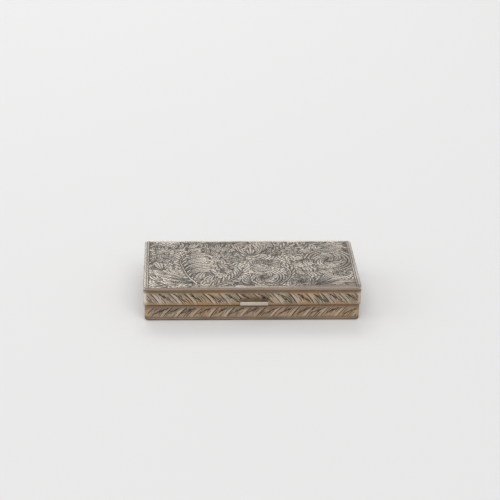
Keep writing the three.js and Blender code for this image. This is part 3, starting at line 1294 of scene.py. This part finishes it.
        # Painted shade: the wall is darker right at the seam, near it, under the plate and, on the
        # base, under the thumbpiece.
        step = fade(np.abs(height - self.plate), self.plate_shade_height, 1.5)
        darks = (
            cuts,
            self.seam_shade * fade(gap, self.seam_shade_height, 1.6),
            self.near_seam_shade * fade(gap, self.near_seam_shade_height, 1.5),
            self.plate_shade * step,
            self.shade * under_thumb * fade(gap, self.shade_height, 1.4),
        )
        # The groove, the chamfer and the hidden rows take a fixed painted shade.
        tone = np.where(shown, np.maximum.reduce(darks), self.hidden_shade)
        warm = shown * np.maximum(fade(gap, self.warm_height, 1.3), self.foot_warm * step)
        bare = shown * bare
        # Each corner shows clean metal, worn and painted highlight alike, brightest at the
        # front-left; on the base it turns warm instead.
        corner = np.zeros(len(way))
        for middle, share in zip(plan.corners, self.corner_wear_and_highlight):
            rub_and_highlight = share * fade(np.abs(way - middle), 0.8 * plan.corner, 1.2) ** 0.8
            corner = np.maximum(corner, rub_and_highlight)
        if self.below:
            warm = np.maximum(np.maximum(warm, corner), self.rub_warm * bare)
            bare *= self.rub_bare
        else:
            bare = np.maximum(bare, corner)

        layers = {"tone": tone, "warm": warm, "bare": bare}
        points = np.concatenate([place, height[..., None]], -1)
        piece, row_of = Bench.sheet(self.name, points, layers)
        Bench.dress(piece, finishes.gilt, finishes.inside)
        self.mark_inside(piece, row_of)
        Bench.edit(piece, "VERT")
        bpy.ops.mesh.select_all(action="SELECT")
        bpy.ops.mesh.remove_doubles(threshold=1e-7)
        Bench.face_out()
        Bench.smooth(piece, 50)
        return self.fit(piece)

    def mark_inside(self, piece: Piece, row_of: Array) -> None:
        """Gives the faces of the inner side, the last row, their own finish.

        Args:
            piece: The strip's object.
            row_of: The row of each of its vertices.
        """
        corners = np.empty(len(piece.data.polygons) * 4, np.int32)
        piece.data.polygons.foreach_get("vertices", corners)
        inner = row_of[corners.reshape(-1, 4)].min(1) == row_of.max() - 1
        piece.data.polygons.foreach_set("material_index", inner.astype(np.int32))


@dataclass
class Thumbpiece(Part):
    """The lip that lifts the lid."""

    scoop: float = 0.3
    lip_bottom: float = 0.55
    lip_top: float = 0.4
    round_edge: float = 0.32
    reflecting_top: float = 0.7
    top_shade: float = 0.5
    steps: int = 9

    def build(self, finishes: Finishes) -> Piece:
        """Models the lip from a side outline, extruded along the case and rounded.

        Args:
            finishes: The finishes of the case.

        Returns:
            The lip's object.
        """
        low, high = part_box(self.node)
        reach, tall = (high.y - low.y) / MM, (high.z - low.z) / MM
        t = np.linspace(0, 1, self.steps)
        top = np.stack([t, tall - self.lip_top * t - 2 * self.scoop * t * (1 - t)], 1)
        under = np.stack([t[::-1], self.lip_bottom * t[::-1] ** 0.6], 1)
        outline = np.vstack([top, under])

        Bench.clear()
        bpy.ops.mesh.primitive_circle_add(vertices=len(outline), radius=MM, fill_type="NGON")
        piece = Bench.adopt(self.name)
        for vertex, (out, height) in zip(piece.data.vertices, outline):
            vertex.co = (low.x, high.y - out * reach * MM, low.z + height * MM)
        Bench.edit(piece, "FACE")
        bpy.ops.mesh.select_all(action="SELECT")
        bpy.ops.mesh.extrude_region_move(
            TRANSFORM_OT_translate={"value": (high.x - low.x, 0, 0)}
        )
        Bench.face_out()
        Bench.bevel(piece, self.round_edge, 4, 40)
        Bench.smooth(piece, 40)
        Bench.dress(piece, finishes.polished, finishes.gilt)
        # The top faces take the gilt finish and a darker tone: painted reflection of the dark wall
        # above.
        for face in piece.data.polygons:
            face.material_index = int(face.normal.z > self.reflecting_top)
        tone = piece.data.attributes.new("tone", "FLOAT", "POINT")
        tone.data.foreach_set("value", [self.top_shade] * len(piece.data.vertices))
        return self.fit(piece)


@dataclass
class Hinge:
    """The tubes, the pin and its end plugs. Sizes in millimetres."""

    base_tubes: int = 5
    lid_tubes: int = 4
    bore: float = 0.55
    rim: float = 0.12
    head: float = 0.24
    sides: int = 48

    def rod(self, name: str, node: str) -> Piece:
        """Adds a cylinder along the case at the size and place of a node.

        Args:
            name: The piece's name.
            node: The node's name.

        Returns:
            The cylinder's object.
        """
        low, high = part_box(node)
        Bench.clear()
        bpy.ops.mesh.primitive_cylinder_add(
            vertices=self.sides,
            radius=(high.z - low.z) / 2,
            depth=high.x - low.x,
            location=(low + high) / 2,
            rotation=(0, math.pi / 2, 0),
        )
        piece = Bench.adopt(name)
        Bench.take(piece)
        bpy.ops.object.transform_apply(location=True, rotation=True, scale=True)
        return piece

    def tube(self, node: str, finishes: Finishes) -> Piece:
        """Models a tube at a node, bored right through.

        Args:
            node: The node's name.
            finishes: The finishes of the case.

        Returns:
            The tube's object.
        """
        piece = self.rod("hinge_tube", node)
        low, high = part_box(node)
        Bench.edit(piece, "FACE", lambda face: abs(face.normal.x) > 0.9)
        bpy.ops.mesh.inset(thickness=(high.z - low.z) / 2 - self.bore * MM)
        bpy.ops.mesh.bridge_edge_loops()
        Bench.face_out()
        Bench.bevel(piece, self.rim, 3, 50)
        Bench.smooth(piece, 40)
        Bench.dress(piece, finishes.gilt)
        return piece

    def build(self, finishes: Finishes) -> list[Piece]:
        """Models the tubes, the pin and the plugs.

        Args:
            finishes: The finishes of the case.

        Returns:
            The hinge's objects.
        """
        first = self.tube("base_knuckle_1", finishes)
        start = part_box("base_knuckle_1")[0]
        pieces = []
        for body, count in (("base", self.base_tubes), ("lid", self.lid_tubes)):
            for number in range(1, count + 1):
                node = f"{body}_knuckle_{number}"
                part = Part(f"hinge_tube_{body}_{number}", node, body, "worn_gilt")
                piece = bpy.data.objects.new(part.name, first.data.copy())
                bpy.context.scene.collection.objects.link(piece)
                piece.data.transform(Matrix.Translation(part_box(node)[0] - start))
                pieces.append(part.fit(piece))
        bpy.data.objects.remove(first)
        pieces.append(self.pin(finishes))
        pieces.append(self.plug("pin_end_left", "pin_plug_left", -1, finishes))
        pieces.append(self.plug("pin_end_right", "pin_plug_right", 1, finishes))
        return pieces

    def pin(self, finishes: Finishes) -> Piece:
        """Models the pin, with broken edges.

        Args:
            finishes: The finishes of the case.

        Returns:
            The pin's object.
        """
        piece = self.rod("pin_rod", "hinge_pin")
        Bench.bevel(piece, self.rim, 2, 50)
        Bench.smooth(piece, 40)
        Bench.dress(piece, finishes.steel)
        return Part("pin_rod", "hinge_pin", "base", "pin_steel").fit(piece)

    def plug(self, name: str, node: str, outward: int, finishes: Finishes) -> Piece:
        """Models a plug with a rounded head.

        Args:
            name: The piece's name.
            node: The node that it stands for.
            outward: The way that its head looks along X.
            finishes: The finishes of the case.

        Returns:
            The plug's object.
        """
        piece = self.rod(name, node)
        Bench.edit(piece, "FACE", lambda face: face.normal.x * outward > 0.9)
        bpy.ops.mesh.bevel(offset=self.head * MM, segments=4, affect="EDGES")
        bpy.ops.object.mode_set(mode="OBJECT")
        Bench.smooth(piece, 50)
        Bench.dress(piece, finishes.gilt)
        return Part(name, node, "base", "worn_gilt").fit(piece)


@dataclass
class Lining:
    """The gilt strips inside the case, which keep the frame's own shapes."""

    nodes: tuple[str, ...] = ("base_liner", "snap_bead", "base_hinge_bearer", "lid_hinge_bearer")

    def dress(self, finishes: Finishes) -> list[Piece]:
        """Gives the strips their finish.

        Args:
            finishes: The finishes of the case.

        Returns:
            The strips' objects.
        """
        pieces = [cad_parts[node] for node in self.nodes]
        for piece in pieces:
            piece.data.materials.clear()
            Bench.dress(piece, finishes.inside)
        return pieces


@dataclass
class Studio:
    """The floor, the light and the camera.

    Lengths are in millimetres and angles in degrees. Each light has its name, its place and its
    size in metres, and its power in watts.
    """

    pitch: float = 25.519
    yaw: float = 3.252
    roll: float = 1.277
    focus: float = 1473.66
    distance: float = 581.32
    target: Colour = (-0.259, 0, 20.357)
    frame_width: int = 500
    sensor: float = 36
    floor_size: float = 40000
    floor_colour: Colour = (0.80, 0.80, 0.795)
    room: float = 0.49
    lights: tuple[tuple[str, Colour, Point, float], ...] = (
        ("back_softbox", (-0.15, 0.75, 0.85), (0.8, 0.45), 3.0),
        ("front_softbox", (0.3, -2.4, 2.85), (4.2, 2.7), 72.0),
        ("side_softbox", (-1.9, -0.2, 1.2), (1.6, 1.2), 8.0),
    )

    def build(self) -> None:
        """Sets up the floor, the light and the camera."""
        self.lay_floor()
        self.light()
        self.aim()
        bpy.context.scene.view_settings.view_transform = "Standard"

    def lay_floor(self) -> None:
        """Lays a plain pale floor."""
        Bench.clear()
        bpy.ops.mesh.primitive_plane_add(size=self.floor_size * MM)
        floor = Bench.adopt("floor")
        nodes = Nodes("pale_floor")
        looks = {"Base Color": (*self.floor_colour, 1), "Roughness": 0.9, "Specular IOR Level": 0.1}
        nodes.fill(nodes.shader, looks)
        Bench.dress(floor, nodes.material)

    def light(self) -> None:
        """Hangs soft lights behind, in front and at the left, and fills the room evenly."""
        world = bpy.data.worlds.new("room")
        bpy.context.scene.world = world
        world.use_nodes = True
        back = world.node_tree.nodes["Background"]
        back.inputs["Color"].default_value = (1, 1, 1, 1)
        back.inputs["Strength"].default_value = self.room
        for name, place, size, power in self.lights:
            lamp = bpy.data.lights.new(name, "AREA")
            lamp.shape = "RECTANGLE"
            lamp.size, lamp.size_y = size
            lamp.energy = power
            hung = bpy.data.objects.new(name, lamp)
            hung.location = place
            hung.rotation_euler = (-Vector(place)).to_track_quat("-Z", "Y").to_euler()
            bpy.context.scene.collection.objects.link(hung)

    def aim(self) -> None:
        """Aims the camera as the photograph was taken."""
        pitch, yaw, roll = (math.radians(angle) for angle in (self.pitch, self.yaw, self.roll))
        flat = math.cos(pitch)
        ahead = Vector((math.sin(yaw) * flat, math.cos(yaw) * flat, -math.sin(pitch)))
        level = Vector((math.cos(yaw), -math.sin(yaw), 0))
        above = level.cross(ahead)
        right = math.cos(roll) * level + math.sin(roll) * above
        up = -math.sin(roll) * level + math.cos(roll) * above
        eye = (Vector(self.target) - ahead * self.distance) * MM
        lens = bpy.data.cameras.new("camera")
        lens.sensor_width = self.sensor
        lens.lens = self.focus * self.sensor / self.frame_width
        lens.clip_start, lens.clip_end = 0.01, 60
        camera = bpy.data.objects.new("camera", lens)
        turn = Matrix((right, up, -ahead)).transposed()
        camera.matrix_world = Matrix.Translation(eye) @ turn.to_4x4()
        bpy.context.scene.collection.objects.link(camera)
        bpy.context.scene.camera = camera


def main() -> None:
    """Builds the case, piece by piece, and reports each."""
    logging.basicConfig(level=logging.INFO, format="%(name)s: %(message)s")
    finishes = Finishes.mixed()
    pin_low, pin_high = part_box("hinge_pin")
    seam = (pin_low.z + pin_high.z) / 2 / MM
    top = EngravedPlate("engraved_lid", "lid_plate", "lid", "engraved_silver", Facing.UP, 0.35)
    bottom = EngravedPlate(
        "base_sheet", "base_plate", "base", "worn_gilt", Facing.DOWN, 0.9, spacing=0.5
    )
    lid_wall = LeafBand(
        "lid_leaf_band",
        "lid_wall",
        "lid",
        "worn_gilt",
        seam,
        band=(7.0, 12.3),
        pitch=6.6,
        plate_shade=0.62,
        plate_shade_height=1.0,
    )
    base_wall = LeafBand(
        "base_leaf_band",
        "base_wall",
        "base",
        "worn_gilt",
        seam,
        band=(0.8, 6.1),
        pitch=6.2,
        hollow=(5.0, 0.5),
        clean=(0.35, 1.0),
        near_seam_shade=0.38,
        near_seam_shade_height=1.9,
    )
    thumbpiece = Thumbpiece("thumb_lip", "thumbpiece", "lid", "polished_silver")
    pieces = [part.build(finishes) for part in (top, bottom, lid_wall, base_wall, thumbpiece)]
    pieces += Hinge().build(finishes)
    pieces += Lining().dress(finishes)
    for piece in pieces:
        log.info("%s: %d faces", piece.name, len(piece.data.polygons))
    Studio().build()


if __name__ == "__main__":
    main()
